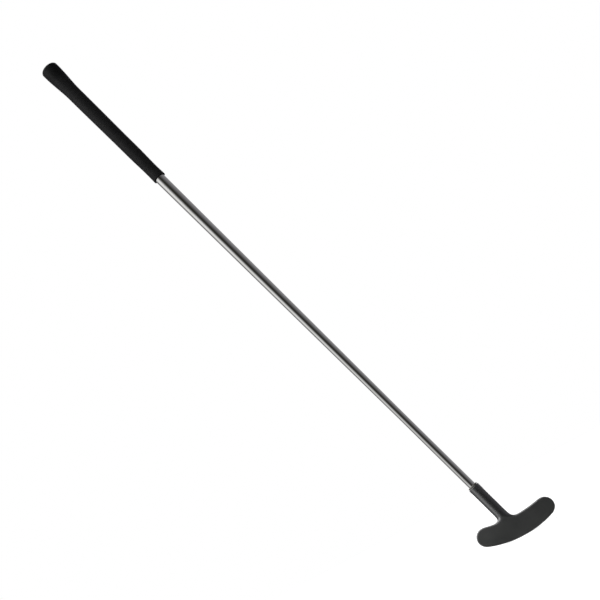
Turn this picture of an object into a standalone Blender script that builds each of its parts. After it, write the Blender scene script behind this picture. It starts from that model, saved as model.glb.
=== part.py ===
"""Two-way putter: a crescent blade cast with its hosel, a tapered steel shaft and a slip-on rubber grip.

The origin is the middle of the sole, where the blade stands on the ground. +Z is up, +X points to the toe and the
two strike faces look along -Y and +Y. The shaft's axis meets the ground just on the heel's side of the origin, and
leans over the heel, towards -X. Sizes are in metres. A height is measured along the shaft's axis, from the ground
towards the butt.
"""

import math

import bmesh
import bpy
from mathutils import Matrix, Vector

MM = 0.001

# Whole club
CLUB_LENGTH = 889 * MM
LIE = math.radians(73)
AXIS_OFFSET = 0.35 * MM
FIT_GAP = 0.3 * MM

# Blade
BLADE_LENGTH = 101.6 * MM
BLADE_HEIGHT = 25.1 * MM
BLADE_THICKNESS = 15 * MM
SOLE_RADIUS = 135.5 * MM
CREST_RADIUS = 162 * MM
EDGE_RADIUS = 1.8 * MM
SOLE_FLAT_DEPTH = 0.15 * MM

# Hosel, and the flare at its foot
HOSEL_DIAMETER = 14.5 * MM
HOSEL_HEIGHT = 79.9 * MM
HOSEL_RIM_RADIUS = 0.8 * MM
BORE_DEPTH = 38 * MM
HEEL_FLARE_REACH = 8.5 * MM
TOE_FLARE_REACH = 5.6 * MM
HEEL_FLARE_RISE = 7.5 * MM
TOE_FLARE_RISE = 7.5 * MM
FACE_FLARE_RISE = 2 * MM
FACE_ARCH_RISE = 6.5 * MM

# Shaft
TIP_DIAMETER = 9.4 * MM
BUTT_DIAMETER = 14.6 * MM
SHAFT_WALL = 0.5 * MM
TIP_PARALLEL_LENGTH = 158 * MM

# Adhesive between shaft and hosel
ADHESIVE_THICKNESS = 0.3 * MM
BEAD_HEIGHT = 1.7 * MM
BEAD_RIM_INSET = 0.6 * MM

# Grip: sleeve, tape and cap
GRIP_LENGTH = 236 * MM
KNOB_DIAMETER = 25.3 * MM
KNOB_LENGTH = 58 * MM
BODY_DIAMETER = 20.4 * MM
SHOULDER_DIAMETER = 19 * MM
NECK_DIAMETER = 17.6 * MM
MOUTH_DIAMETER = 18.2 * MM
SHOULDER_TO_MOUTH = 56 * MM
NECK_TO_MOUTH = 15 * MM
MOUTH_LIP_RADIUS = 0.3 * MM
TAPE_THICKNESS = 0.3 * MM
TAPE_TO_MOUTH = 3 * MM
TAPE_SEAM_WIDTH = 1.5 * MM
CAP_THICKNESS = 5 * MM
CAP_CROWN = 0.4 * MM
CAP_EDGE_RADIUS = 2 * MM
SKIRT_WALL = 1.8 * MM
SKIRT_DEPTH = 12 * MM
VENT_DIAMETER = 3 * MM

# Fineness of the surfaces
HEEL_COLUMNS = 4
NECK_COLUMNS = 4
TOE_COLUMNS = 7
END_ROWS = 4
CORNER_COLUMNS = 2
ROUND_STEPS = 48
CORNER_STEPS = 4
HEAD_LEVELS = 1

BORE_DIAMETER = TIP_DIAMETER + 4 * FIT_GAP + 2 * ADHESIVE_THICKNESS
TIP_HEIGHT = HOSEL_HEIGHT - BORE_DEPTH + FIT_GAP
MOUTH_HEIGHT = CLUB_LENGTH - GRIP_LENGTH
SHAFT_TOP = CLUB_LENGTH - CAP_THICKNESS - FIT_GAP
TAPE_INNER_RADIUS = BUTT_DIAMETER / 2 + FIT_GAP
TAPE_OUTER_RADIUS = TAPE_INNER_RADIUS + TAPE_THICKNESS
SLEEVE_BORE_RADIUS = TAPE_OUTER_RADIUS + FIT_GAP
SKIRT_RADIUS = SLEEVE_BORE_RADIUS + SKIRT_WALL
COLUMNS = HEEL_COLUMNS + NECK_COLUMNS + TOE_COLUMNS + 2 * CORNER_COLUMNS
GROUND_POINT = Vector((-AXIS_OFFSET, 0, 0))
SHAFT_AXIS = Vector((-math.cos(LIE), 0, math.sin(LIE)))
TOEWARD = Vector((math.sin(LIE), 0, math.cos(LIE)))
BACKWARD = Vector((0, 1, 0))


def clear_scene():
    for old in list(bpy.data.objects):
        bpy.data.objects.remove(old, do_unlink=True)


def material(name, colour, roughness, metallic=0.0):
    finish = bpy.data.materials.new(name)
    finish.use_nodes = True
    shader = finish.node_tree.nodes["Principled BSDF"]
    shader.inputs["Base Color"].default_value = (*colour, 1)
    shader.inputs["Roughness"].default_value = roughness
    shader.inputs["Metallic"].default_value = metallic
    finish.diffuse_color = (*colour, 1)
    return finish


def mesh_object(name, bm, finish=None, parent=None):
    mesh = bpy.data.meshes.new(name)
    bmesh.ops.recalc_face_normals(bm, faces=bm.faces)
    bm.to_mesh(mesh)
    bm.free()
    mesh.shade_smooth()
    mesh.set_sharp_from_angle(angle=math.radians(35))
    if finish:
        mesh.materials.append(finish)
    obj = bpy.data.objects.new(name, mesh)
    bpy.context.collection.objects.link(obj)
    obj.parent = parent
    return obj


def cutter(obj):
    obj.hide_render = True
    obj.display_type = "WIRE"
    return obj


def cut(obj, tool):
    boolean = obj.modifiers.new("cut " + tool.name, "BOOLEAN")
    boolean.operation = "DIFFERENCE"
    boolean.solver = "EXACT"
    boolean.object = tool


# Blade outline: the sole, two full-round ends and the hollow crest, each an arc tangent to the next

CREST_CENTRE = BLADE_HEIGHT + CREST_RADIUS


def blade_end():
    """Radius and centre of the end arc that touches the sole arc, the crest arc and the blade's length."""
    spread = CREST_CENTRE - SOLE_RADIUS
    both = SOLE_RADIUS + CREST_RADIUS
    rise = ((SOLE_RADIUS - CREST_RADIUS) * both / spread + SOLE_RADIUS + CREST_CENTRE) / 2 - SOLE_RADIUS
    slope = -both / spread
    a = slope**2
    b = 2 * slope * rise + 2 * SOLE_RADIUS - BLADE_LENGTH
    c = (BLADE_LENGTH / 2) ** 2 + rise**2 - SOLE_RADIUS**2
    radius = (-b + math.sqrt(b * b - 4 * a * c)) / (2 * a)
    return radius, BLADE_LENGTH / 2 - radius, SOLE_RADIUS + rise + slope * radius


END_RADIUS, END_X, END_Z = blade_end()
SOLE_TANGENT = math.atan2(END_X, SOLE_RADIUS - END_Z)
CREST_TANGENT = math.atan2(END_X, CREST_CENTRE - END_Z)


def smoothing(step):
    """How far a smoothed ring shrinks from its control points, which are this many radians apart."""
    return (2 + math.cos(step)) / 3


def sole_point(angle, inset):
    reach = SOLE_RADIUS - inset
    return reach * math.sin(angle), SOLE_RADIUS - reach * math.cos(angle)


def crest_point(angle, inset):
    reach = CREST_RADIUS + inset
    return reach * math.sin(angle), CREST_CENTRE - reach * math.cos(angle)


def end_point(side, angle, inset):
    """A point of the heel's (side -1) or toe's (side 1) end arc; the angle is above the level."""
    reach = END_RADIUS / smoothing(math.pi / 2 / END_ROWS) - inset
    return side * (END_X + reach * math.cos(angle)), END_Z + reach * math.sin(angle)


def steps_between(low, high, count):
    return [low + (high - low) * i / count for i in range(count + 1)]


def neck_angles():
    """Where the flare of the hosel's foot starts and ends on the crest arc."""
    crossing = -AXIS_OFFSET - BLADE_HEIGHT / math.tan(LIE)
    half_width = HOSEL_DIAMETER / 2 / math.sin(LIE)
    heel = crossing - half_width - HEEL_FLARE_REACH
    toe = crossing + half_width + TOE_FLARE_REACH
    return math.asin(heel / CREST_RADIUS), math.asin(toe / CREST_RADIUS)


def crest_row(inset):
    heel, toe = neck_angles()
    corner = math.pi / 4
    heel_turn = steps_between(corner, math.pi / 2 + CREST_TANGENT, CORNER_COLUMNS)
    row = [end_point(-1, angle, inset) for angle in heel_turn[:-1]]
    along = steps_between(-CREST_TANGENT, heel, HEEL_COLUMNS)[:-1]
    along += steps_between(heel, toe, NECK_COLUMNS)[:-1]
    along += steps_between(toe, CREST_TANGENT, TOE_COLUMNS)
    row += [crest_point(angle, inset) for angle in along]
    return row + [end_point(1, angle, inset) for angle in reversed(heel_turn[:-1])]


def sole_row(inset):
    turn = steps_between(-math.pi / 4, -math.pi / 2 + SOLE_TANGENT, CORNER_COLUMNS)
    row = [end_point(-1, angle, inset) for angle in turn[:-1]]
    along = steps_between(-SOLE_TANGENT, SOLE_TANGENT, HEEL_COLUMNS + NECK_COLUMNS + TOE_COLUMNS)
    row += [sole_point(angle, inset) for angle in along]
    return row + [end_point(1, angle, inset) for angle in reversed(turn[:-1])]


def end_row(side, inset):
    return [end_point(side, angle, inset) for angle in steps_between(-math.pi / 4, math.pi / 4, END_ROWS)]


NECK_FIRST = CORNER_COLUMNS + HEEL_COLUMNS
NECK_LAST = NECK_FIRST + NECK_COLUMNS


def arch_rise(column):
    """How far the flat strike face climbs on to the hosel's foot in this column."""
    return FACE_ARCH_RISE if column == NECK_FIRST + NECK_COLUMNS // 2 else 0.0


def place_edge(column, row, inset, y, arch=0.0):
    """Position of an outline point of the blade, drawn in by the inset."""
    if row == 0:
        x, z = sole_row(inset)[column]
    elif row == END_ROWS:
        x, z = crest_row(inset)[column]
        rise = arch * arch_rise(column)
        x, z = x - rise / math.tan(LIE), z + rise
    else:
        x, z = end_row(-1 if column == 0 else 1, inset)[row]
    return Vector((x, y, z - SOLE_FLAT_DEPTH))


def place_face(column, row, y):
    """Position of a point inside the flat strike face, spread evenly between the four sides of its rim."""
    u, v = column / COLUMNS, row / END_ROWS
    low, high = place_edge(column, 0, EDGE_RADIUS, y), place_edge(column, END_ROWS, EDGE_RADIUS, y, 1)
    heel, toe = place_edge(0, row, EDGE_RADIUS, y), place_edge(COLUMNS, row, EDGE_RADIUS, y)
    corners = [place_edge(i, j, EDGE_RADIUS, y) for j in (0, END_ROWS) for i in (0, COLUMNS)]
    level = corners[0].lerp(corners[1], u).lerp(corners[2].lerp(corners[3], u), v)
    return low.lerp(high, v) + heel.lerp(toe, u) - level


def extrude_chain(bm, edges, place):
    """Extrudes a chain of edges and moves each new point to place(column, row, spoke)."""
    made = bmesh.ops.extrude_edge_only(bm, edges=edges)["geom"]
    tags = [bm.verts.layers.int[name] for name in ("column", "row", "spoke")]
    for vert in made:
        if isinstance(vert, bmesh.types.BMVert):
            vert.co = place(*(vert[tag] for tag in tags))
    return [edge for edge in made if isinstance(edge, bmesh.types.BMEdge) and edge.is_boundary]


def neck_point(spoke, height, radius=HOSEL_DIAMETER / 2):
    """A point round the hosel; spoke 0 is towards the toe, and half a turn takes 4 plus the neck's columns."""
    step = math.pi / (NECK_COLUMNS + 4)
    across = radius / smoothing(step)
    angle = -spoke * step
    around = math.cos(angle) * TOEWARD + math.sin(angle) * BACKWARD
    return GROUND_POINT + height * SHAFT_AXIS + across * around


def flare_heights(spoke):
    """Heights on the hosel of the corner of its foot and of the flare's top, on this spoke."""
    toe_share = math.cos(spoke * math.pi / (NECK_COLUMNS + 4))
    radius = HOSEL_DIAMETER / 2
    corner = (BLADE_HEIGHT - radius * toe_share * math.cos(LIE)) / math.sin(LIE)
    face_share = 1 - toe_share**2
    corner += face_share * FACE_ARCH_RISE
    side_rise = TOE_FLARE_RISE if toe_share > 0 else HEEL_FLARE_RISE
    return corner, corner + toe_share**2 * side_rise + face_share * FACE_FLARE_RISE


def putter_head(finish):
    """Half of the casting is drawn as one net of faces, mirrored to the other strike face and smoothed."""
    front = -BLADE_THICKNESS / 2
    bevel = EDGE_RADIUS / 2
    bm = bmesh.new()
    column_tag = bm.verts.layers.int.new("column")
    row_tag = bm.verts.layers.int.new("row")
    spoke_tag = bm.verts.layers.int.new("spoke")
    bmesh.ops.create_grid(bm, x_segments=COLUMNS, y_segments=END_ROWS, size=0.5)
    for vert in bm.verts:
        column, row = round((vert.co.x + 0.5) * COLUMNS), round((vert.co.y + 0.5) * END_ROWS)
        vert[column_tag], vert[row_tag] = column, row
        vert.co = place_face(column, row, front)

    edges = [edge for edge in bm.edges if edge.is_boundary]
    edges = extrude_chain(bm, edges, lambda c, r, s: place_edge(c, r, bevel, front, 1))
    edges = extrude_chain(bm, edges, lambda c, r, s: place_edge(c, r, 0, front + bevel))
    extrude_chain(bm, edges, lambda c, r, s: place_edge(c, r, 0, 0))

    def in_neck(vert):
        return vert[row_tag] == END_ROWS and NECK_FIRST <= vert[column_tag] <= NECK_LAST

    def off_face(face):
        return max(vert.co.y for vert in face.verts) > front + bevel / 2

    open_faces = [face for face in bm.faces if all(map(in_neck, face.verts)) and off_face(face)]
    bmesh.ops.delete(bm, geom=open_faces, context="FACES")
    foot = {}
    for vert in filter(in_neck, bm.verts):
        if vert.co.y > front + bevel / 2:
            nearer_side = 1 if vert.co.y < -bevel / 2 else 0
            heelward = vert[column_tag] == NECK_FIRST
            spoke = NECK_COLUMNS + 4 - nearer_side if heelward else nearer_side
        elif any(edge.is_boundary for edge in vert.link_edges):
            spoke = 2 + NECK_LAST - vert[column_tag]
        else:
            continue
        vert[spoke_tag] = spoke
        foot[spoke] = vert.co.copy()

    def on_flare(share):
        def place(column, row, spoke):
            corner, top = flare_heights(spoke)
            start, bend, end = foot[spoke], neck_point(spoke, corner), neck_point(spoke, top)
            return start.lerp(bend, share).lerp(bend.lerp(end, share), share)

        return place

    def on_hosel(height, radius):
        return lambda column, row, spoke: neck_point(spoke, height, radius)

    edges = [
        edge
        for edge in bm.edges
        if edge.is_boundary and all(map(in_neck, edge.verts)) and min(v.co.y for v in edge.verts) < -bevel / 2
    ]
    for share in (1 / 3, 2 / 3, 1):
        edges = extrude_chain(bm, edges, on_flare(share))
    radius, rim = HOSEL_DIAMETER / 2, HOSEL_RIM_RADIUS
    flare_top = max(flare_heights(spoke)[1] for spoke in range(NECK_COLUMNS + 5))
    for height, across in (
        (flare_top + radius / 2, radius),
        (HOSEL_HEIGHT - radius / 2, radius),
        (HOSEL_HEIGHT - 1.5 * rim, radius),
        (HOSEL_HEIGHT - rim / 2, radius),
        (HOSEL_HEIGHT, radius - rim / 2),
        (HOSEL_HEIGHT, radius - 1.5 * rim),
    ):
        edges = [edge for edge in extrude_chain(bm, edges, on_hosel(height, across)) if edge_off_plane(edge)]
    bmesh.ops.mirror(bm, geom=bm.verts[:] + bm.edges[:] + bm.faces[:], axis="Y", merge_dist=FIT_GAP / 100)
    bmesh.ops.holes_fill(bm, edges=[edge for edge in bm.edges if edge.is_boundary], sides=0)
    head = mesh_object("putter_head", bm, finish)
    smooth = head.modifiers.new("smooth casting", "SUBSURF")
    smooth.levels = smooth.render_levels = HEAD_LEVELS
    return head


def edge_off_plane(edge):
    return min(vert.co.y for vert in edge.verts) < -FIT_GAP


def turned(name, profile, finish=None, parent=None, sweep=2 * math.pi):
    """A closed (radius, height) profile turned round the shaft's axis; less than a full sweep leaves a slot."""
    bm = bmesh.new()
    points = [bm.verts.new((radius, 0, height)) for radius, height in profile]
    slot = sweep < 2 * math.pi - 1e-6
    geometry = [bm.faces.new(points)] if slot else [bm.edges.new(pair) for pair in zip(points, points[1:] + points[:1])]
    bmesh.ops.spin(
        bm,
        geom=points + geometry + (list(geometry[0].edges) if slot else []),
        cent=(0, 0, 0),
        axis=(0, 0, 1),
        angle=sweep,
        steps=ROUND_STEPS,
        use_merge=not slot,
    )
    bmesh.ops.remove_doubles(bm, verts=bm.verts, dist=1e-6)
    return mesh_object(name, bm, finish, parent)


def arc(centre_radius, centre_height, radius, start, end):
    """Points of a profile's rounded corner, from one angle to another, both in degrees."""
    angles = steps_between(math.radians(start), math.radians(end), CORNER_STEPS)
    return [(centre_radius + radius * math.cos(a), centre_height + radius * math.sin(a)) for a in angles]


def steel_shaft(finish, parent):
    tip, butt = TIP_DIAMETER / 2, BUTT_DIAMETER / 2
    taper_low, taper_high = TIP_HEIGHT + TIP_PARALLEL_LENGTH, MOUTH_HEIGHT
    outside = [(butt, SHAFT_TOP), (butt, taper_high), (tip, taper_low), (tip, TIP_HEIGHT)]
    inside = [(radius - SHAFT_WALL, height) for radius, height in reversed(outside)]
    return turned("steel_shaft", outside + inside, finish, parent)


def hosel_adhesive(finish, parent):
    inner = TIP_DIAMETER / 2 + FIT_GAP
    outer = inner + ADHESIVE_THICKNESS
    seat = HOSEL_HEIGHT + FIT_GAP
    bead = HOSEL_DIAMETER / 2 - BEAD_RIM_INSET
    profile = [(inner, seat + BEAD_HEIGHT)]
    for angle in steps_between(math.pi / 2, 0, CORNER_STEPS):
        across = inner + FIT_GAP + (bead - inner - FIT_GAP) * math.cos(angle)
        profile.append((across, seat + FIT_GAP + (BEAD_HEIGHT - FIT_GAP) * math.sin(angle)))
    profile += [(bead, seat), (outer, seat), (outer, TIP_HEIGHT), (inner, TIP_HEIGHT)]
    return turned("hosel_adhesive", profile, finish, parent)


def ease(share):
    return (1 - math.cos(math.pi * share)) / 2


def sleeve_outline():
    """The sleeve's outside, from under the cap down to the mouth: knob, body, shoulder, neck and flared mouth."""
    stations = [
        (KNOB_DIAMETER / 2, CLUB_LENGTH - CAP_THICKNESS - FIT_GAP),
        (BODY_DIAMETER / 2, CLUB_LENGTH - KNOB_LENGTH),
        (SHOULDER_DIAMETER / 2, MOUTH_HEIGHT + SHOULDER_TO_MOUTH),
        (NECK_DIAMETER / 2, MOUTH_HEIGHT + NECK_TO_MOUTH),
        (MOUTH_DIAMETER / 2, MOUTH_HEIGHT + MOUTH_LIP_RADIUS),
    ]
    outline = []
    for (wide, high), (narrow, low) in zip(stations, stations[1:]):
        shares = steps_between(0, 1, CORNER_STEPS)[:-1]
        outline += [(wide + (narrow - wide) * ease(share), high + (low - high) * share) for share in shares]
    return outline + [stations[-1]]


def grip_sleeve(finish, parent):
    socket_floor = CLUB_LENGTH - CAP_THICKNESS - FIT_GAP - SKIRT_DEPTH - FIT_GAP
    lip = MOUTH_LIP_RADIUS
    profile = sleeve_outline()
    profile += [(MOUTH_DIAMETER / 2 - lip, MOUTH_HEIGHT), (SLEEVE_BORE_RADIUS, MOUTH_HEIGHT)]
    profile += [(SLEEVE_BORE_RADIUS, socket_floor), (SKIRT_RADIUS + FIT_GAP, socket_floor)]
    profile += [(SKIRT_RADIUS + FIT_GAP, CLUB_LENGTH - CAP_THICKNESS - FIT_GAP)]
    return turned("grip_sleeve", profile, finish, parent)


def grip_tape(finish, parent):
    top, bottom = SHAFT_TOP, MOUTH_HEIGHT + TAPE_TO_MOUTH
    profile = [(TAPE_OUTER_RADIUS, top), (TAPE_OUTER_RADIUS, bottom), (TAPE_INNER_RADIUS, bottom), (TAPE_INNER_RADIUS, top)]
    seam = TAPE_SEAM_WIDTH / TAPE_OUTER_RADIUS
    return turned("grip_tape", profile, finish, parent, 2 * math.pi - seam)


def grip_cap(finish, parent):
    under = CLUB_LENGTH - CAP_THICKNESS
    edge = CLUB_LENGTH - CAP_CROWN
    knob, corner = KNOB_DIAMETER / 2, CAP_EDGE_RADIUS
    profile = [(VENT_DIAMETER / 2, CLUB_LENGTH)]
    profile += reversed(arc(knob - corner, edge - corner, corner, 0, 90))
    profile += [(knob, under), (SKIRT_RADIUS, under), (SKIRT_RADIUS, under - SKIRT_DEPTH)]
    profile += [(SLEEVE_BORE_RADIUS, under - SKIRT_DEPTH), (SLEEVE_BORE_RADIUS, under), (VENT_DIAMETER / 2, under)]
    return turned("grip_cap", profile, finish, parent)


def main():
    clear_scene()
    shaft_line = bpy.data.objects.new("shaft_line", None)
    bpy.context.collection.objects.link(shaft_line)
    shaft_line.location = GROUND_POINT
    shaft_line.rotation_euler = (0, LIE - math.pi / 2, 0)

    paint = material("black_paint", (0.033, 0.034, 0.035), 0.45)
    steel = material("chromed_steel", (0.6, 0.6, 0.58), 0.08, 1)
    rubber = material("grip_rubber", (0.016, 0.016, 0.017), 0.6)
    cap_rubber = material("cap_rubber", (0.014, 0.014, 0.015), 0.5)
    glue = material("cured_adhesive", (0.09, 0.085, 0.07), 0.3)
    paper = material("tape_paper", (0.62, 0.56, 0.42), 0.85)

    head = putter_head(paint)
    bore_top = HOSEL_HEIGHT + BORE_DEPTH
    bore = [(0, bore_top), (BORE_DIAMETER / 2, bore_top)]
    bore += [(BORE_DIAMETER / 2, HOSEL_HEIGHT - BORE_DEPTH), (0, HOSEL_HEIGHT - BORE_DEPTH)]
    drill = cutter(turned("bore_cutter", bore, parent=shaft_line))
    # a quarter step round, so that no corner of the bore meets an edge of the hosel's top
    drill.rotation_euler.z = math.pi / (2 * ROUND_STEPS)
    cut(head, drill)
    ground = bmesh.new()
    bmesh.ops.create_cube(ground, size=1, matrix=Matrix.Diagonal((BLADE_LENGTH, BLADE_LENGTH, BLADE_HEIGHT, 1)))
    bmesh.ops.translate(ground, verts=ground.verts, vec=(0, 0, -BLADE_HEIGHT / 2))
    cut(head, cutter(mesh_object("ground_cutter", ground)))

    hosel_adhesive(glue, shaft_line)
    steel_shaft(steel, shaft_line)
    grip_tape(paper, shaft_line)
    grip_sleeve(rubber, shaft_line)
    grip_cap(cap_rubber, shaft_line)


main()
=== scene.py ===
"""Two-way putter, dressed for its picture: satin black blade and hosel, chromed shaft, slip-on rubber grip.

Sizes are in metres, in the frame of the CAD solids: the origin is the middle of the sole, +Z is up, +X
points to the toe and the strike faces look along -Y and +Y. On the hosel, the shaft and the grip a height
is measured along the shaft's axis, from the ground.
"""

import math

import bmesh
import bpy
from mathutils import Euler, Matrix, Quaternion, Vector


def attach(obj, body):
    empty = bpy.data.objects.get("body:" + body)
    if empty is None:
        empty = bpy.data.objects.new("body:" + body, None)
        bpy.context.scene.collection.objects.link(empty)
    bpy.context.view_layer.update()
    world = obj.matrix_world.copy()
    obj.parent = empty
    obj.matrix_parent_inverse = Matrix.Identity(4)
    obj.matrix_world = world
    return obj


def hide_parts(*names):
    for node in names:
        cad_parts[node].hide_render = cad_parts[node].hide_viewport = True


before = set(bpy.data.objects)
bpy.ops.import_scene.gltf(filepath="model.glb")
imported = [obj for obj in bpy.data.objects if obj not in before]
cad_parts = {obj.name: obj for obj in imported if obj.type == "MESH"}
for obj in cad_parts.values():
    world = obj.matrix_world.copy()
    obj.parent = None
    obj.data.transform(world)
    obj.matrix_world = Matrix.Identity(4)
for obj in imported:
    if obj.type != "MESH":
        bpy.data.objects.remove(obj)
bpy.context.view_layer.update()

MM = 0.001

# Whole club
CLUB_LENGTH = 889 * MM
LIE = math.radians(73)
AXIS_OFFSET = 0.35 * MM
FIT_GAP = 0.3 * MM

# Blade
BLADE_LENGTH = 101.6 * MM
BLADE_HEIGHT = 25.1 * MM
BLADE_THICKNESS = 15 * MM
SOLE_RADIUS = 135.5 * MM
CREST_RADIUS = 162 * MM
EDGE_RADIUS = 1.8 * MM
SOLE_FLAT_DEPTH = 0.15 * MM

# Where each end of the blade turns under to the sole: how far its outline is drawn in there, at which angle
# below the level it is drawn in most, and over which angle to either side that fades out
TURN_EASE = 0.65 * MM
TURN_ANGLE = math.radians(52)
TURN_REACH = math.radians(29)

# Hosel, and the flare at its foot
HOSEL_DIAMETER = 14.5 * MM
HOSEL_HEIGHT = 79.9 * MM
HOSEL_RIM_RADIUS = 0.8 * MM
BORE_DEPTH = 38 * MM
HEEL_FLARE_REACH = 8.5 * MM
TOE_FLARE_REACH = 5.6 * MM
HEEL_FLARE_RISE = 7.5 * MM
TOE_FLARE_RISE = 7.5 * MM
FACE_FLARE_RISE = 2 * MM
FACE_ARCH_RISE = 6.5 * MM

# Shaft
TIP_DIAMETER = 9.4 * MM
BUTT_DIAMETER = 14.6 * MM
SHAFT_WALL = 0.5 * MM
TIP_PARALLEL_LENGTH = 158 * MM

# Adhesive between shaft and hosel
ADHESIVE_THICKNESS = 0.3 * MM
BEAD_HEIGHT = 1.7 * MM
BEAD_RIM_INSET = 0.6 * MM

# Grip: sleeve and cap
GRIP_LENGTH = 236 * MM
KNOB_DIAMETER = 25.3 * MM
KNOB_LENGTH = 58 * MM
BODY_DIAMETER = 20.4 * MM
SHOULDER_DIAMETER = 19 * MM
NECK_DIAMETER = 17.6 * MM
MOUTH_DIAMETER = 18.2 * MM
SHOULDER_TO_MOUTH = 56 * MM
NECK_TO_MOUTH = 15 * MM
MOUTH_LIP_RADIUS = 0.3 * MM
TAPE_THICKNESS = 0.3 * MM
CAP_THICKNESS = 5 * MM
CAP_CROWN = 0.4 * MM
CAP_EDGE_RADIUS = 2 * MM
SKIRT_WALL = 1.8 * MM
SKIRT_DEPTH = 12 * MM
VENT_DIAMETER = 3 * MM

# Fineness of the surfaces
HEEL_COLUMNS = 4
NECK_COLUMNS = 4
TOE_COLUMNS = 7
END_ROWS = 4
CORNER_COLUMNS = 2
ROUND_STEPS = 128
CORNER_STEPS = 8
HEAD_LEVELS = 3
CRISP_ANGLE = math.radians(35)

BORE_DIAMETER = TIP_DIAMETER + 4 * FIT_GAP + 2 * ADHESIVE_THICKNESS
TIP_HEIGHT = HOSEL_HEIGHT - BORE_DEPTH + FIT_GAP
MOUTH_HEIGHT = CLUB_LENGTH - GRIP_LENGTH
UNDER_CAP = CLUB_LENGTH - CAP_THICKNESS - FIT_GAP
TAPE_OUTER_RADIUS = BUTT_DIAMETER / 2 + FIT_GAP + TAPE_THICKNESS
SLEEVE_BORE_RADIUS = TAPE_OUTER_RADIUS + FIT_GAP
SKIRT_RADIUS = SLEEVE_BORE_RADIUS + SKIRT_WALL
COLUMNS = HEEL_COLUMNS + NECK_COLUMNS + TOE_COLUMNS + 2 * CORNER_COLUMNS
GROUND_POINT = Vector((-AXIS_OFFSET, 0, 0))
SHAFT_AXIS = Vector((-math.cos(LIE), 0, math.sin(LIE)))
TOEWARD = Vector((math.sin(LIE), 0, math.cos(LIE)))
BACKWARD = Vector((0, 1, 0))
SHAFT_LEAN = Euler((0, LIE - math.pi / 2, 0))


# Materials

def new_finish(name, **sockets):
    """A material with its shader's own sockets set; what varies over the surface is linked afterwards."""
    finish = bpy.data.materials.new(name)
    finish.use_nodes = True
    shader = finish.node_tree.nodes["Principled BSDF"]
    for socket, value in sockets.items():
        shader.inputs[socket.replace("_", " ")].default_value = value
    return finish, finish.node_tree, shader


def node(tree, kind, settings=None, **inputs):
    """Adds a node and fills its inputs, each with a value or with the socket of another node.

    An input goes by its name with _ for a space, or by _ and its number.
    """
    made = tree.nodes.new("ShaderNode" + kind)
    for key, value in (settings or {}).items():
        setattr(made, key, value)
    for name, value in inputs.items():
        socket = made.inputs[int(name[1:])] if name[0] == "_" else made.inputs[name.replace("_", " ")]
        if isinstance(value, bpy.types.NodeSocket):
            tree.links.new(value, socket)
        else:
            socket.default_value = value
    return made


def math_node(tree, operation, first, second=0.0):
    return node(tree, "Math", {"operation": operation}, _0=first, _1=second).outputs[0]


def times(tree, first, second):
    return math_node(tree, "MULTIPLY", first, second)


def plus(tree, first, second):
    return math_node(tree, "ADD", first, second)


def less(tree, first, second):
    return math_node(tree, "SUBTRACT", first, second)


def spread(tree, value, low, high, to_low=0.0, to_high=1.0):
    """Maps a range of a value smoothly on to another range, and holds it there."""
    made = node(
        tree,
        "MapRange",
        {"interpolation_type": "SMOOTHSTEP", "clamp": True},
        Value=value,
        From_Min=low,
        From_Max=high,
        To_Min=to_low,
        To_Max=to_high,
    )
    return made.outputs["Result"]


def noise(tree, where, scale, detail=2.0, roughness=0.5):
    made = node(tree, "TexNoise", None, Vector=where, Scale=scale, Detail=detail, Roughness=roughness)
    return made.outputs["Fac"]


def blend_colours(tree, share, first, second):
    made = node(tree, "Mix", {"data_type": "RGBA"}, Factor=share)
    for socket, value in ((made.inputs[6], first), (made.inputs[7], second)):
        if isinstance(value, bpy.types.NodeSocket):
            tree.links.new(value, socket)
        else:
            socket.default_value = (*value, 1)
    return made.outputs[2]


def bump(tree, height, distance, strength=1.0, under=None):
    made = node(tree, "Bump", None, Height=height, Distance=distance, Strength=strength)
    if under:
        tree.links.new(under, made.inputs["Normal"])
    return made.outputs["Normal"]


def places(tree):
    return node(tree, "TexCoord").outputs["Object"]


def along_shaft(tree):
    """Position with Z along the shaft's axis from the ground, and that height alone."""
    local = node(
        tree,
        "Mapping",
        {"vector_type": "TEXTURE"},
        Vector=places(tree),
        Location=GROUND_POINT,
        Rotation=SHAFT_LEAN,
    ).outputs["Vector"]
    return local, node(tree, "SeparateXYZ", None, Vector=local).outputs["Z"]


def stretched(tree, where, factors):
    return node(tree, "Mapping", None, Vector=where, Scale=factors).outputs["Vector"]


# Between these distances from the middle plane the cast colour turns into that of the milled strike face
MILLED_FROM, MILLED_FULL = 7.2 * MM, 7.46 * MM

# The sole is scuffed up to this height
SCUFF_HEIGHT = 2.8 * MM


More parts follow.
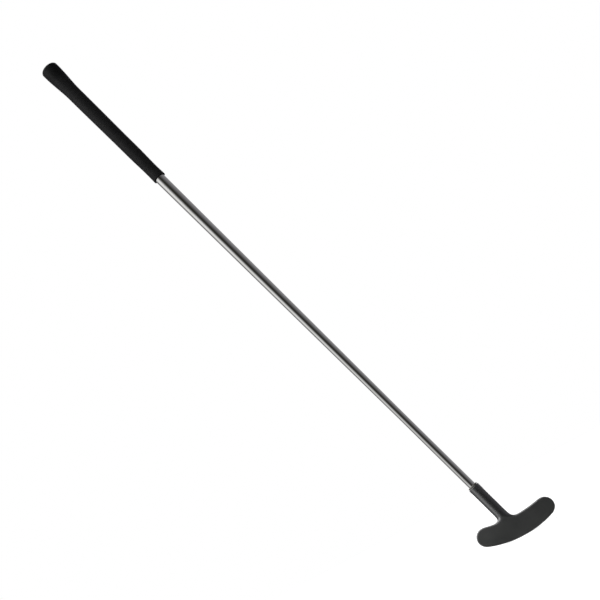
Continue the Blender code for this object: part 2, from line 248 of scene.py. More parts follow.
def black_coating():
    """Satin black; the milled strike faces are a shade paler than the cast rest, and the sole is scuffed."""
    finish, tree, shader = new_finish("satin_black_coating", IOR=2.13)
    where = places(tree)
    axes = node(tree, "SeparateXYZ", None, Vector=where)
    face = spread(tree, math_node(tree, "ABSOLUTE", axes.outputs["Y"]), MILLED_FROM, MILLED_FULL)
    cloud = noise(tree, where, 45, 3)
    grain = noise(tree, where, 1400, 3, 0.6)
    peel = noise(tree, where, 420, 2)
    clouded = spread(tree, cloud, 0.3, 0.7)
    cast = blend_colours(tree, clouded, (0.0052, 0.0055, 0.0055), (0.0068, 0.0072, 0.0072))
    milled = blend_colours(tree, clouded, (0.0178, 0.0188, 0.0185), (0.0216, 0.0228, 0.0223))
    colour = blend_colours(tree, face, cast, milled)
    scuffs = noise(tree, stretched(tree, where, (60, 900, 900)), 1.0, 4, 0.65)
    sole = spread(tree, axes.outputs["Z"], 0.0, SCUFF_HEIGHT, 1.0, 0.0)
    rubbed = times(tree, spread(tree, scuffs, 0.56, 0.70), sole)
    colour = blend_colours(tree, rubbed, colour, (0.10, 0.098, 0.095))
    tree.links.new(colour, shader.inputs["Base Color"])
    shine = plus(tree, spread(tree, cloud, 0.2, 0.8, 0.30, 0.36), times(tree, grain, 0.05))
    shine = less(tree, shine, times(tree, rubbed, 0.08))
    tree.links.new(shine, shader.inputs["Roughness"])
    relief = plus(tree, times(tree, grain, 0.35), peel)
    tree.links.new(bump(tree, relief, 0.010 * MM), shader.inputs["Normal"])
    return finish


def shaft_chrome():
    """Bright plating with a faint haze, drawing lines along the tube and rings round it."""
    finish, tree, shader = new_finish("polished_shaft_chrome", Metallic=1.0)
    local, _ = along_shaft(tree)
    haze = noise(tree, local, 70, 3)
    lines = noise(tree, stretched(tree, local, (2600, 2600, 24)), 1.0, 3, 0.6)
    rings = noise(tree, stretched(tree, local, (30, 30, 4000)), 1.0, 2)
    colour = blend_colours(tree, spread(tree, haze, 0.3, 0.7), (0.60, 0.60, 0.575), (0.64, 0.64, 0.625))
    tree.links.new(colour, shader.inputs["Base Color"])
    shine = spread(tree, haze, 0.25, 0.75, 0.09, 0.13)
    shine = plus(tree, shine, times(tree, spread(tree, lines, 0.62, 0.75), 0.06))
    tree.links.new(shine, shader.inputs["Roughness"])
    wave = noise(tree, stretched(tree, local, (1, 1, 0.25)), 160, 1)
    relief = plus(tree, wave, times(tree, rings, 0.04))
    tree.links.new(bump(tree, relief, 0.006 * MM), shader.inputs["Normal"])
    return finish


# Heights where the mottle fades out towards the plain butt end, and where painted shade darkens the knob
MOTTLE_TOP, PLAIN_FROM = CLUB_LENGTH - 31 * MM, CLUB_LENGTH - 25 * MM
KNOB_SHADE_FROM, KNOB_SHADE_FULL = CLUB_LENGTH - 36 * MM, CLUB_LENGTH - 18 * MM


def grip_rubber():
    """Matt black, finely mottled and pebbled below the plain butt end, whose colour has painted shade."""
    finish, tree, shader = new_finish("grip_rubber", Specular_IOR_Level=0.12)
    local, height = along_shaft(tree)
    mottled = spread(tree, height, MOTTLE_TOP, PLAIN_FROM, 1.0, 0.0)
    cells = node(tree, "TexVoronoi", {"feature": "SMOOTH_F1"}, Vector=local, Scale=700, Smoothness=0.6)
    mottle = noise(tree, local, 300, 3, 0.6)
    dust = noise(tree, local, 38, 3)
    pebble = times(tree, plus(tree, cells.outputs["Distance"], mottle), mottled)
    dusty = spread(tree, dust, 0.3, 0.7)
    colour = blend_colours(tree, dusty, (0.0078, 0.0078, 0.0084), (0.0098, 0.0098, 0.0103))
    # Painted shade: the colour darkens towards the butt, keeping the knob dark under the high window's light
    knob_painted_shade = spread(tree, height, KNOB_SHADE_FROM, KNOB_SHADE_FULL)
    colour = blend_colours(tree, knob_painted_shade, colour, (0.0022, 0.0022, 0.0025))
    pale = times(tree, spread(tree, mottle, 0.45, 0.72), mottled)
    colour = blend_colours(tree, times(tree, pale, 0.6), colour, (0.0165, 0.0167, 0.0170))
    tree.links.new(colour, shader.inputs["Base Color"])
    tree.links.new(spread(tree, dust, 0.2, 0.8, 0.52, 0.64), shader.inputs["Roughness"])
    skin = noise(tree, local, 1500, 2)
    fine = bump(tree, skin, 0.01 * MM)
    tree.links.new(bump(tree, pebble, 0.09 * MM, 1.0, fine), shader.inputs["Normal"])
    return finish


def cap_rubber():
    """Plain black, a little smoother than the sleeve."""
    finish, tree, shader = new_finish("moulded_cap_rubber", Specular_IOR_Level=0.12)
    local, _ = along_shaft(tree)
    dust = noise(tree, local, 60, 3)
    skin = noise(tree, local, 1300, 2)
    dusty = spread(tree, dust, 0.3, 0.7)
    colour = blend_colours(tree, dusty, (0.0040, 0.0040, 0.0043), (0.0055, 0.0055, 0.0058))
    tree.links.new(colour, shader.inputs["Base Color"])
    tree.links.new(spread(tree, dust, 0.2, 0.8, 0.46, 0.56), shader.inputs["Roughness"])
    tree.links.new(bump(tree, skin, 0.012 * MM), shader.inputs["Normal"])
    return finish


def cured_adhesive():
    """Dark grey, wiped smooth and slightly streaked."""
    finish, tree, shader = new_finish("cured_adhesive", Specular_IOR_Level=0.5)
    local, _ = along_shaft(tree)
    streak = noise(tree, local, 260, 3)
    streaked = spread(tree, streak, 0.35, 0.65)
    colour = blend_colours(tree, streaked, (0.031, 0.030, 0.025), (0.044, 0.043, 0.036))
    tree.links.new(colour, shader.inputs["Base Color"])
    tree.links.new(spread(tree, streak, 0.3, 0.7, 0.18, 0.30), shader.inputs["Roughness"])
    tree.links.new(bump(tree, streak, 0.06 * MM), shader.inputs["Normal"])
    return finish


def tape_paper():
    """Buff crepe paper, creased round the shaft."""
    finish, tree, shader = new_finish("crepe_tape_paper", Specular_IOR_Level=0.25)
    local, _ = along_shaft(tree)
    crepe = noise(tree, stretched(tree, local, (1, 1, 6)), 420, 3, 0.6)
    fibre = noise(tree, local, 1600, 2)
    colour = blend_colours(tree, spread(tree, crepe, 0.3, 0.7), (0.52, 0.45, 0.32), (0.68, 0.62, 0.48))
    tree.links.new(colour, shader.inputs["Base Color"])
    tree.links.new(spread(tree, fibre, 0.2, 0.8, 0.78, 0.92), shader.inputs["Roughness"])
    tree.links.new(bump(tree, crepe, 0.05 * MM), shader.inputs["Normal"])
    return finish


# Blade and hosel

CREST_CENTRE = BLADE_HEIGHT + CREST_RADIUS


def blade_end():
    """Radius and centre of the end arc that touches the sole arc, the crest arc and the blade's length."""
    spread_of_centres = CREST_CENTRE - SOLE_RADIUS
    both = SOLE_RADIUS + CREST_RADIUS
    rise = (SOLE_RADIUS - CREST_RADIUS) * both / spread_of_centres
    rise = (rise + SOLE_RADIUS + CREST_CENTRE) / 2 - SOLE_RADIUS
    slope = -both / spread_of_centres
    a = slope**2
    b = 2 * slope * rise + 2 * SOLE_RADIUS - BLADE_LENGTH
    c = (BLADE_LENGTH / 2) ** 2 + rise**2 - SOLE_RADIUS**2
    radius = (-b + math.sqrt(b * b - 4 * a * c)) / (2 * a)
    return radius, BLADE_LENGTH / 2 - radius, SOLE_RADIUS + rise + slope * radius


END_RADIUS, END_X, END_Z = blade_end()
SOLE_TANGENT = math.atan2(END_X, SOLE_RADIUS - END_Z)
CREST_TANGENT = math.atan2(END_X, CREST_CENTRE - END_Z)


def smoothing(step):
    """The share of its radius that a ring keeps when smoothed, its points being this many radians apart."""
    return (2 + math.cos(step)) / 3


def turn_ease(angle):
    """How far the outline is drawn in at this angle of an end arc."""
    share = max(0.0, 1 - abs(angle + TURN_ANGLE) / TURN_REACH)
    return TURN_EASE * math.sin(share * math.pi / 2)


def sole_point(angle, inset):
    """A point of the sole arc; its last two columns are drawn in to meet the end arcs."""
    two_columns = 4 * SOLE_TANGENT / (HEEL_COLUMNS + NECK_COLUMNS + TOE_COLUMNS)
    share = max(0.0, 1 - (SOLE_TANGENT - abs(angle)) / two_columns)
    reach = SOLE_RADIUS - inset - share**2 * turn_ease(SOLE_TANGENT - math.pi / 2)
    return reach * math.sin(angle), SOLE_RADIUS - reach * math.cos(angle)


def crest_point(angle, inset):
    reach = CREST_RADIUS + inset
    return reach * math.sin(angle), CREST_CENTRE - reach * math.cos(angle)


def end_point(side, angle, inset):
    """A point of the heel's (side -1) or toe's (side 1) end arc; the angle is above the level."""
    reach = END_RADIUS / smoothing(math.pi / 2 / END_ROWS) - inset - turn_ease(angle)
    return side * (END_X + reach * math.cos(angle)), END_Z + reach * math.sin(angle)


def steps_between(low, high, count):
    return [low + (high - low) * i / count for i in range(count + 1)]


def neck_angles():
    """Where the flare of the hosel's foot starts and ends on the crest arc."""
    crossing = -AXIS_OFFSET - BLADE_HEIGHT / math.tan(LIE)
    half_width = HOSEL_DIAMETER / 2 / math.sin(LIE)
    heel = crossing - half_width - HEEL_FLARE_REACH
    toe = crossing + half_width + TOE_FLARE_REACH
    return math.asin(heel / CREST_RADIUS), math.asin(toe / CREST_RADIUS)


def crest_row(inset):
    heel, toe = neck_angles()
    heel_turn = steps_between(math.pi / 4, math.pi / 2 + CREST_TANGENT, CORNER_COLUMNS)
    row = [end_point(-1, angle, inset) for angle in heel_turn[:-1]]
    along = steps_between(-CREST_TANGENT, heel, HEEL_COLUMNS)[:-1]
    along += steps_between(heel, toe, NECK_COLUMNS)[:-1]
    along += steps_between(toe, CREST_TANGENT, TOE_COLUMNS)
    row += [crest_point(angle, inset) for angle in along]
    return row + [end_point(1, angle, inset) for angle in reversed(heel_turn[:-1])]


def sole_row(inset):
    turn = steps_between(-math.pi / 4, -math.pi / 2 + SOLE_TANGENT, CORNER_COLUMNS)
    row = [end_point(-1, angle, inset) for angle in turn[:-1]]
    along = steps_between(-SOLE_TANGENT, SOLE_TANGENT, HEEL_COLUMNS + NECK_COLUMNS + TOE_COLUMNS)
    row += [sole_point(angle, inset) for angle in along]
    return row + [end_point(1, angle, inset) for angle in reversed(turn[:-1])]


def end_row(side, inset):
    return [end_point(side, angle, inset) for angle in steps_between(-math.pi / 4, math.pi / 4, END_ROWS)]


NECK_FIRST = CORNER_COLUMNS + HEEL_COLUMNS
NECK_LAST = NECK_FIRST + NECK_COLUMNS
HALF_TURN = NECK_COLUMNS + 4
BEVEL = EDGE_RADIUS / 2


def arch_rise(column):
    """How far the flat strike face climbs on to the hosel's foot in this column."""
    return FACE_ARCH_RISE if column == NECK_FIRST + NECK_COLUMNS // 2 else 0.0


def place_edge(column, row, inset, y, arch=0.0):
    """Position of an outline point of the blade, drawn in by the inset."""
    if row == 0:
        x, z = sole_row(inset)[column]
    elif row == END_ROWS:
        x, z = crest_row(inset)[column]
        rise = arch * arch_rise(column)
        x, z = x - rise / math.tan(LIE), z + rise
    else:
        x, z = end_row(-1 if column == 0 else 1, inset)[row]
    return Vector((x, y, z - SOLE_FLAT_DEPTH))


def place_face(column, row, y):
    """Position of a point inside the flat strike face, spread evenly between the four sides of its rim."""
    u, v = column / COLUMNS, row / END_ROWS
    low, high = place_edge(column, 0, EDGE_RADIUS, y), place_edge(column, END_ROWS, EDGE_RADIUS, y, 1)
    heel, toe = place_edge(0, row, EDGE_RADIUS, y), place_edge(COLUMNS, row, EDGE_RADIUS, y)
    corners = [place_edge(i, j, EDGE_RADIUS, y) for j in (0, END_ROWS) for i in (0, COLUMNS)]
    level = corners[0].lerp(corners[1], u).lerp(corners[2].lerp(corners[3], u), v)
    return low.lerp(high, v) + heel.lerp(toe, u) - level


def extrude_chain(bm, edges, place):
    """Extrudes a chain of edges and moves each new point to place(column, row, spoke)."""
    made = bmesh.ops.extrude_edge_only(bm, edges=edges)["geom"]
    tags = [bm.verts.layers.int[name] for name in ("column", "row", "spoke")]
    for vert in made:
        if isinstance(vert, bmesh.types.BMVert):
            vert.co = place(*(vert[tag] for tag in tags))
    return [edge for edge in made if isinstance(edge, bmesh.types.BMEdge) and edge.is_boundary]


def off_middle(edge):
    return min(vert.co.y for vert in edge.verts) < -FIT_GAP


def neck_point(spoke, height, radius=HOSEL_DIAMETER / 2):
    """A point round the hosel; spoke 0 is towards the toe, and the half turn's last towards the heel."""
    step = math.pi / HALF_TURN
    across = radius / smoothing(step)
    angle = -spoke * step
    around = math.cos(angle) * TOEWARD + math.sin(angle) * BACKWARD
    return GROUND_POINT + height * SHAFT_AXIS + across * around


def flare_heights(spoke):
    """Heights on the hosel of the corner of its foot and of the flare's top, on this spoke."""
    toe_share = math.cos(spoke * math.pi / HALF_TURN)
    radius = HOSEL_DIAMETER / 2
    corner = (BLADE_HEIGHT - radius * toe_share * math.cos(LIE)) / math.sin(LIE)
    face_share = 1 - toe_share**2
    corner += face_share * FACE_ARCH_RISE
    side_rise = TOE_FLARE_RISE if toe_share > 0 else HEEL_FLARE_RISE
    return corner, corner + toe_share**2 * side_rise + face_share * FACE_FLARE_RISE


def finished_mesh(name, bm, finish):
    """The piece as an object at the origin, its faces outwards and its crisp edges kept."""
    mesh = bpy.data.meshes.new(name)
    bmesh.ops.recalc_face_normals(bm, faces=bm.faces)
    bm.to_mesh(mesh)
    bm.free()
    mesh.shade_smooth()
    mesh.set_sharp_from_angle(angle=CRISP_ANGLE)
    mesh.materials.append(finish)
    piece = bpy.data.objects.new(name, mesh)
    bpy.context.scene.collection.objects.link(piece)
    return piece


def half_casting():
    """One strike face, its rounded rim and half of the hosel, drawn as one net of faces."""
    front = -BLADE_THICKNESS / 2
    bm = bmesh.new()
    column_tag = bm.verts.layers.int.new("column")
    row_tag = bm.verts.layers.int.new("row")
    spoke_tag = bm.verts.layers.int.new("spoke")
    bmesh.ops.create_grid(bm, x_segments=COLUMNS, y_segments=END_ROWS, size=0.5)
    for vert in bm.verts:
        column, row = round((vert.co.x + 0.5) * COLUMNS), round((vert.co.y + 0.5) * END_ROWS)
        vert[column_tag], vert[row_tag] = column, row
        vert.co = place_face(column, row, front)

    edges = [edge for edge in bm.edges if edge.is_boundary]
    edges = extrude_chain(bm, edges, lambda c, r, s: place_edge(c, r, BEVEL, front, 1))
    edges = extrude_chain(bm, edges, lambda c, r, s: place_edge(c, r, 0, front + BEVEL))
    extrude_chain(bm, edges, lambda c, r, s: place_edge(c, r, 0, 0))

    def in_neck(vert):
        return vert[row_tag] == END_ROWS and NECK_FIRST <= vert[column_tag] <= NECK_LAST

    def off_face(face):
        return max(vert.co.y for vert in face.verts) > front + BEVEL / 2

    open_faces = [face for face in bm.faces if all(map(in_neck, face.verts)) and off_face(face)]
    bmesh.ops.delete(bm, geom=open_faces, context="FACES")
    foot = {}
    for vert in filter(in_neck, bm.verts):
        if vert.co.y > front + BEVEL / 2:
            nearer_side = 1 if vert.co.y < -BEVEL / 2 else 0
            heelward = vert[column_tag] == NECK_FIRST
            spoke = HALF_TURN - nearer_side if heelward else nearer_side
        elif any(edge.is_boundary for edge in vert.link_edges):
            spoke = 2 + NECK_LAST - vert[column_tag]
        else:
            continue
        vert[spoke_tag] = spoke
        foot[spoke] = vert.co.copy()

    def on_flare(share):
        def place(column, row, spoke):
            corner, top = flare_heights(spoke)
            start, bend, end = foot[spoke], neck_point(spoke, corner), neck_point(spoke, top)
            return start.lerp(bend, share).lerp(bend.lerp(end, share), share)

        return place

    def on_hosel(height, radius):
        return lambda column, row, spoke: neck_point(spoke, height, radius)

    rim_edges = [edge for edge in bm.edges if edge.is_boundary and all(map(in_neck, edge.verts))]
    edges = [edge for edge in rim_edges if off_middle(edge)]
    for share in (1 / 3, 2 / 3, 1):
        edges = extrude_chain(bm, edges, on_flare(share))
    radius, rim, bore = HOSEL_DIAMETER / 2, HOSEL_RIM_RADIUS, BORE_DIAMETER / 2
    bore_floor = HOSEL_HEIGHT - BORE_DEPTH
    flare_top = max(flare_heights(spoke)[1] for spoke in range(HALF_TURN + 1))
    for height, across in (
        (flare_top + radius / 2, radius),
        (HOSEL_HEIGHT - radius / 2, radius),
        (HOSEL_HEIGHT - 1.5 * rim, radius),
        (HOSEL_HEIGHT - rim / 2, radius),
        (HOSEL_HEIGHT, radius - rim / 2),
        (HOSEL_HEIGHT, bore + rim / 8),
        (HOSEL_HEIGHT - rim / 8, bore),
        (HOSEL_HEIGHT - rim, bore),
        (bore_floor + rim, bore),
        (bore_floor + rim / 8, bore),
        (bore_floor, bore - rim / 8),
        (bore_floor, bore / 2),
    ):
        edges = [edge for edge in extrude_chain(bm, edges, on_hosel(height, across)) if off_middle(edge)]
    return bm


def putter_head(finish):
    """The half is mirrored to the other side, smoothed, and given the flat that the sole stands on."""
    bm = half_casting()
    bmesh.ops.mirror(bm, geom=bm.verts[:] + bm.edges[:] + bm.faces[:], axis="Y", merge_dist=FIT_GAP / 100)
    bmesh.ops.holes_fill(bm, edges=[edge for edge in bm.edges if edge.is_boundary], sides=0)
    rough = finished_mesh("putter_head_net", bm, finish)
    smooth = rough.modifiers.new("smooth casting", "SUBSURF")
    smooth.levels = smooth.render_levels = HEAD_LEVELS
    bpy.context.view_layer.update()
    bm = bmesh.new()
    bm.from_object(rough, bpy.context.evaluated_depsgraph_get())
    bpy.data.objects.remove(rough)
    everything = bm.verts[:] + bm.edges[:] + bm.faces[:]
    ground = {"plane_co": (0, 0, 0), "plane_no": (0, 0, -1)}
    bmesh.ops.bisect_plane(bm, geom=everything, dist=1e-7, clear_outer=True, **ground)
    bmesh.ops.holes_fill(bm, edges=[edge for edge in bm.edges if edge.is_boundary], sides=0)
    return finished_mesh("putter_head_fine", bm, finish)


# Turned pieces

def turned(name, profile, finish):
    """A closed (radius, height) profile turned round the shaft's axis."""
    bm = bmesh.new()
    points = [bm.verts.new((radius, 0, height)) for radius, height in profile]
    edges = [bm.edges.new(pair) for pair in zip(points, points[1:] + points[:1])]
    bmesh.ops.spin(
        bm,
        geom=points + edges,
        cent=(0, 0, 0),
        axis=(0, 0, 1),
        angle=2 * math.pi,
        steps=ROUND_STEPS,
        use_merge=True,
    )
    bmesh.ops.remove_doubles(bm, verts=bm.verts, dist=1e-6)
    on_to_shaft = Matrix.Translation(GROUND_POINT) @ SHAFT_LEAN.to_matrix().to_4x4()
    bmesh.ops.transform(bm, verts=bm.verts, matrix=on_to_shaft)
    return finished_mesh(name, bm, finish)


def arc(centre_radius, centre_height, radius, start, end):
    """Points of a profile's rounded corner, from one angle to another, both in degrees."""
    angles = steps_between(math.radians(start), math.radians(end), CORNER_STEPS)
    return [(centre_radius + radius * math.cos(a), centre_height + radius * math.sin(a)) for a in angles]


def steel_shaft(finish):
    tip, butt = TIP_DIAMETER / 2, BUTT_DIAMETER / 2
    taper_foot = TIP_HEIGHT + TIP_PARALLEL_LENGTH
    outside = [(butt, UNDER_CAP), (butt, MOUTH_HEIGHT), (tip, taper_foot), (tip, TIP_HEIGHT)]
    inside = [(radius - SHAFT_WALL, height) for radius, height in reversed(outside)]
    return turned("steel_shaft_fine", outside + inside, finish)


def hosel_adhesive(finish):
    inner = TIP_DIAMETER / 2 + FIT_GAP
    outer = inner + ADHESIVE_THICKNESS
    seat = HOSEL_HEIGHT + FIT_GAP
    bead = HOSEL_DIAMETER / 2 - BEAD_RIM_INSET
    profile = [(inner, seat + BEAD_HEIGHT)]
    for angle in steps_between(math.pi / 2, 0, CORNER_STEPS):
        across = inner + FIT_GAP + (bead - inner - FIT_GAP) * math.cos(angle)
        profile.append((across, seat + FIT_GAP + (BEAD_HEIGHT - FIT_GAP) * math.sin(angle)))
    profile += [(bead, seat), (outer, seat), (outer, TIP_HEIGHT), (inner, TIP_HEIGHT)]
    return turned("hosel_adhesive_fine", profile, finish)


def ease(share):
    return (1 - math.cos(math.pi * share)) / 2


def sleeve_outline():
    """The sleeve's outside from the cap down to the mouth: knob, body, shoulder, neck and flared mouth."""
    stations = [
        (KNOB_DIAMETER / 2, UNDER_CAP),
        (BODY_DIAMETER / 2, CLUB_LENGTH - KNOB_LENGTH),
        (SHOULDER_DIAMETER / 2, MOUTH_HEIGHT + SHOULDER_TO_MOUTH),
        (NECK_DIAMETER / 2, MOUTH_HEIGHT + NECK_TO_MOUTH),
        (MOUTH_DIAMETER / 2, MOUTH_HEIGHT + MOUTH_LIP_RADIUS),
    ]
    outline = []
    for (wide, high), (narrow, low) in zip(stations, stations[1:]):
        shares = steps_between(0, 1, 2 * CORNER_STEPS)[:-1]
        outline += [(wide + (narrow - wide) * ease(share), high + (low - high) * share) for share in shares]
    return outline + [stations[-1]]


def grip_sleeve(finish):
    socket_floor = UNDER_CAP - SKIRT_DEPTH - FIT_GAP
    lip = MOUTH_LIP_RADIUS
    profile = sleeve_outline()
    profile += [(MOUTH_DIAMETER / 2 - lip, MOUTH_HEIGHT), (SLEEVE_BORE_RADIUS, MOUTH_HEIGHT)]
    profile += [(SLEEVE_BORE_RADIUS, socket_floor), (SKIRT_RADIUS + FIT_GAP, socket_floor)]
    profile += [(SKIRT_RADIUS + FIT_GAP, UNDER_CAP)]
    return turned("grip_sleeve_fine", profile, finish)


def grip_cap(finish):
    under = CLUB_LENGTH - CAP_THICKNESS
    edge = CLUB_LENGTH - CAP_CROWN
    knob, corner = KNOB_DIAMETER / 2, CAP_EDGE_RADIUS
    vent = VENT_DIAMETER / 2
    profile = [(vent, CLUB_LENGTH)]
    profile += reversed(arc(knob - corner, edge - corner, corner, 0, 90))
    profile += [(knob, under), (SKIRT_RADIUS, under), (SKIRT_RADIUS, under - SKIRT_DEPTH)]
    profile += [(SLEEVE_BORE_RADIUS, under - SKIRT_DEPTH), (SLEEVE_BORE_RADIUS, under), (vent, under)]
    return turned("grip_cap_fine", profile, finish)


# Studio

FLOOR_HALF_WIDTH = 14
WHITE = (1, 1, 1)

# The floor's paper glows for the camera, a little less within NEAR of the origin than beyond FAR
PAPER_GREY = 0.4
GLOW_NEAR, GLOW_FAR = 0.80, 1.0
NEAR, FAR = 0.2, 1.2


def pale_floor():
    """Paper under the club; far off the camera sees plain white, and near the club its faint shadow."""
    bm = bmesh.new()
    bmesh.ops.create_grid(bm, x_segments=1, y_segments=1, size=FLOOR_HALF_WIDTH)
    paper = (PAPER_GREY, PAPER_GREY, PAPER_GREY, 1)
    finish, tree, shader = new_finish("pale_floor_paper", Base_Color=paper, Roughness=0.9)
    shader.inputs["Specular IOR Level"].default_value = 0.0
    shader.inputs["Emission Color"].default_value = (*WHITE, 1)
    away = node(tree, "VectorMath", {"operation": "LENGTH"}, _0=places(tree)).outputs["Value"]
    seen = node(tree, "LightPath").outputs["Is Camera Ray"]
    glow = times(tree, seen, spread(tree, away, NEAR, FAR, GLOW_NEAR, GLOW_FAR))
    tree.links.new(glow, shader.inputs["Emission Strength"])
    floor = finished_mesh("pale_floor", bm, finish)
    floor.visible_glossy = False


# The room that the club mirrors. A bearing is in degrees from -Y, where the camera stands, and positive
# towards the heel's side. A lift is how far a direction points along the shaft's axis, from -1 straight down
# it to 1 straight up it.
ROOM_LEVELS = (
    (-180, 1.0), (-166, 0.85), (-152, 0.32), (-120, 0.30), (-96, 0.29), (-72, 0.22),
    (-48, 0.145), (-24, 0.07), (-12, 0.035), (0, 0.025), (12, 0.04), (24, 0.11),
    (36, 0.38), (48, 0.72), (60, 0.97), (72, 1.0), (84, 0.90), (96, 0.60),
    (108, 0.32), (122, 0.17), (152, 0.22), (166, 0.85), (180, 1.0),
)
WARM_BELOW, COOL_BELOW = 0.06, 0.5
WARM_TINT, COOL_TINT = (1, 1, 0.80), (1, 0.98, 1.05)

# The bright band low down: its bearing, its lifts and how many times the room's level it has. BAND_TIMES
# holds where the cosine of the angle off its bearing is over BAND_FULL, and BAND_TIMES_ASIDE where it is
# under BAND_ASIDE.
BAND_BEARING = 52
BAND_FOOT, BAND_MIDDLE, BAND_TOP = -0.26, -0.16, -0.06
BAND_TIMES_ASIDE, BAND_TIMES = 0.1, 5.4
BAND_ASIDE, BAND_FULL = 0.45, 0.9

# From the band's middle down the room is dimmed, fully so under SHADE_FOOT: by SHARE_AT_BAND where that same
# cosine is over SHADE_FULL, and by SHARE_ASIDE where it is under SHADE_ASIDE
SHADE_FOOT = -0.28
SHARE_ASIDE, SHARE_AT_BAND = 0.4, 0.8
SHADE_ASIDE, SHADE_FULL = 0.5, 0.85

# The narrow window high up, with a fainter glow above it
WINDOW_BEARING = 62
WINDOW_FOOT, WINDOW_FULL = 0.47, 0.55
WINDOW_HALF_WIDTH, WINDOW_EDGE = 0.16, 0.26
WINDOW_LEVEL, GLOW_LEVEL = 3.5, 1.6
GLOW_FOOT, GLOW_FULL = 0.62, 0.75

# The grey ground that stands in for the floor
GROUND_FULL, GROUND_TOP = -0.80, -0.62
GROUND_GREY = (0.5, 0.5, 0.5)


def dot(tree, first, second):
    return node(tree, "VectorMath", {"operation": "DOT_PRODUCT"}, _0=first, _1=second).outputs["Value"]


def level_direction(bearing):
    angle = math.radians(bearing)
    return -math.sin(angle), -math.cos(angle), 0


def tinted(level):
    """The room's darkest levels are warm, the middle ones cool and the brightest white."""
    tint = WHITE
    if level < COOL_BELOW:
        tint = COOL_TINT
    if level < WARM_BELOW:
        tint = WARM_TINT
    return (*(level * share for share in tint), 1)


def room_colour(tree, way, lift):
    """Dark in front of the club, bright behind it and at the heel's side."""
    heelward = times(tree, way.outputs["X"], -1.0)
    nearer = times(tree, way.outputs["Y"], -1.0)
    bearing = math_node(tree, "ARCTAN2", heelward, nearer)
    bearing = times(tree, bearing, spread(tree, lift, -0.08, 0.04, 1.2, 1.0))
    share = node(tree, "MapRange", None, Value=bearing, From_Min=-math.pi, From_Max=math.pi)
    room = node(tree, "ValToRGB", None, Fac=share.outputs["Result"])
    ramp = room.color_ramp.elements
    while len(ramp) < len(ROOM_LEVELS):
        ramp.new(0.5)
    for element, (degrees, level) in zip(ramp, ROOM_LEVELS):
        element.position = 0.5 + degrees / 360
        element.color = tinted(level)
    return room.outputs["Color"]


def room_level(tree, gaze, way, lift):
    """Brightest a little above the level and square to the shaft, with the band and the shade lower down."""
    up = way.outputs["Z"]
    overhead = spread(tree, up, 0.6, 0.85, 1.0, 0.3)
    level = times(tree, spread(tree, up, -0.3, 0.1, 0.80, 1.15), overhead)
    off_square = math_node(tree, "ABSOLUTE", lift)
    level = times(tree, level, spread(tree, off_square, 0.45, 0.75, 1.0, 0.4))
    at_band = dot(tree, gaze, level_direction(BAND_BEARING))
    band = spread(tree, at_band, BAND_ASIDE, BAND_FULL, BAND_TIMES_ASIDE, BAND_TIMES)
    band = less(tree, band, 1.0)
    band = times(tree, band, spread(tree, lift, BAND_MIDDLE, BAND_TOP, 1.0, 0.0))
    band = times(tree, band, spread(tree, lift, BAND_FOOT, BAND_MIDDLE))
    level = times(tree, level, plus(tree, band, 1.0))
    shade = spread(tree, at_band, SHADE_ASIDE, SHADE_FULL, SHARE_ASIDE, SHARE_AT_BAND)
    shade = times(tree, shade, spread(tree, lift, SHADE_FOOT, BAND_MIDDLE, 1.0, 0.0))
    return times(tree, level, less(tree, 1.0, shade))


def window_level(tree, gaze, lift):
    across = math_node(tree, "ABSOLUTE", dot(tree, gaze, level_direction(WINDOW_BEARING + 90)))
    narrow = spread(tree, across, WINDOW_HALF_WIDTH, WINDOW_EDGE, WINDOW_LEVEL, 0.0)
    glow = spread(tree, lift, GLOW_FOOT, GLOW_FULL, 0.0, GLOW_LEVEL)
    window = math_node(tree, "MAXIMUM", narrow, glow)
    towards = dot(tree, gaze, level_direction(WINDOW_BEARING))
    window = times(tree, window, spread(tree, towards, -0.1, 0.1))
    return times(tree, window, spread(tree, lift, WINDOW_FOOT, WINDOW_FULL))


def studio_world():
    """A white backdrop for the camera; the club mirrors the room with its band, window and ground."""
    world = bpy.data.worlds.new("studio")
    bpy.context.scene.world = world
    world.use_nodes = True
    tree = world.node_tree
    gaze = node(tree, "TexCoord").outputs["Generated"]
    way = node(tree, "SeparateXYZ", None, Vector=gaze)
    lift = dot(tree, gaze, SHAFT_AXIS)
    colour, level = room_colour(tree, way, lift), room_level(tree, gaze, way, lift)
    room = node(tree, "VectorMath", {"operation": "SCALE"}, _0=colour, Scale=level).outputs["Vector"]
    window = window_level(tree, gaze, lift)
    room = node(tree, "VectorMath", {"operation": "ADD"}, _0=room, _1=window).outputs["Vector"]
    room = blend_colours(tree, spread(tree, lift, GROUND_FULL, GROUND_TOP, 1.0, 0.0), room, GROUND_GREY)
    seen = node(tree, "LightPath").outputs["Is Camera Ray"]
    light = blend_colours(tree, seen, room, WHITE)
    tree.links.new(light, tree.nodes["Background"].inputs["Color"])


LAMP_PLACE = Vector((-0.235, -0.115, 0.12))
LAMP_AIM = Vector((0, 0, 0.03))
LAMP_WIDTH = 0.15
LAMP_WATTS = 1.4


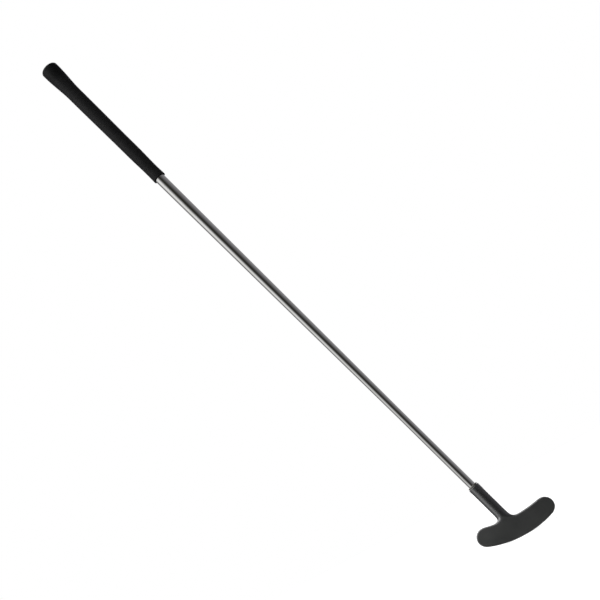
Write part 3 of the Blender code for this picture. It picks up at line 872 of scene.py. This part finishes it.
def studio_lamp():
    """A small soft lamp in front of the head at the heel's side, hidden from the camera and mirror rays."""
    lamp = bpy.data.lights.new("key_softbox", "AREA")
    lamp.shape = "RECTANGLE"
    lamp.size = lamp.size_y = LAMP_WIDTH
    lamp.energy = LAMP_WATTS
    box = bpy.data.objects.new("key_softbox", lamp)
    box.location = LAMP_PLACE
    box.rotation_euler = (LAMP_AIM - LAMP_PLACE).to_track_quat("-Z", "Y").to_euler()
    box.visible_glossy = False
    box.visible_camera = False
    bpy.context.scene.collection.objects.link(box)


# Camera, as solved from the photo; the lens and the sensor are in millimetres
LENS_LENGTH = 60.40
SENSOR_WIDTH = 36
CAMERA_PLACE = Vector((-0.02337, -1.25, 0.07531))
CAMERA_AIM = Vector((-0.10201, 0, 0.38317))
CAMERA_ROLL = math.radians(-28.096)


def photo_camera():
    lens = bpy.data.cameras.new("photo_camera")
    lens.lens = LENS_LENGTH
    lens.sensor_width = SENSOR_WIDTH
    camera = bpy.data.objects.new("photo_camera", lens)
    camera.location = CAMERA_PLACE
    ahead = (CAMERA_AIM - CAMERA_PLACE).to_track_quat("-Z", "Y")
    camera.rotation_mode = "QUATERNION"
    camera.rotation_quaternion = ahead @ Quaternion((0, 0, 1), CAMERA_ROLL)
    bpy.context.scene.collection.objects.link(camera)
    bpy.context.scene.camera = camera


def main():
    pieces = (
        (putter_head(black_coating()), "putter_head", "head_paint"),
        (hosel_adhesive(cured_adhesive()), "hosel_adhesive", "adhesive"),
        (steel_shaft(shaft_chrome()), "steel_shaft", "shaft_chrome"),
        (grip_sleeve(grip_rubber()), "grip_sleeve", "grip_rubber"),
        (grip_cap(cap_rubber()), "grip_cap", "cap_rubber"),
    )
    for piece, stands_for, slot in pieces:
        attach(piece, "root")
        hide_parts(stands_for)
    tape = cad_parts["grip_tape"]
    paper = tape_paper()
    for slot in tape.material_slots:
        slot.material = paper
    pale_floor()
    studio_world()
    studio_lamp()
    photo_camera()
    bpy.context.scene.view_settings.view_transform = "Standard"


main()
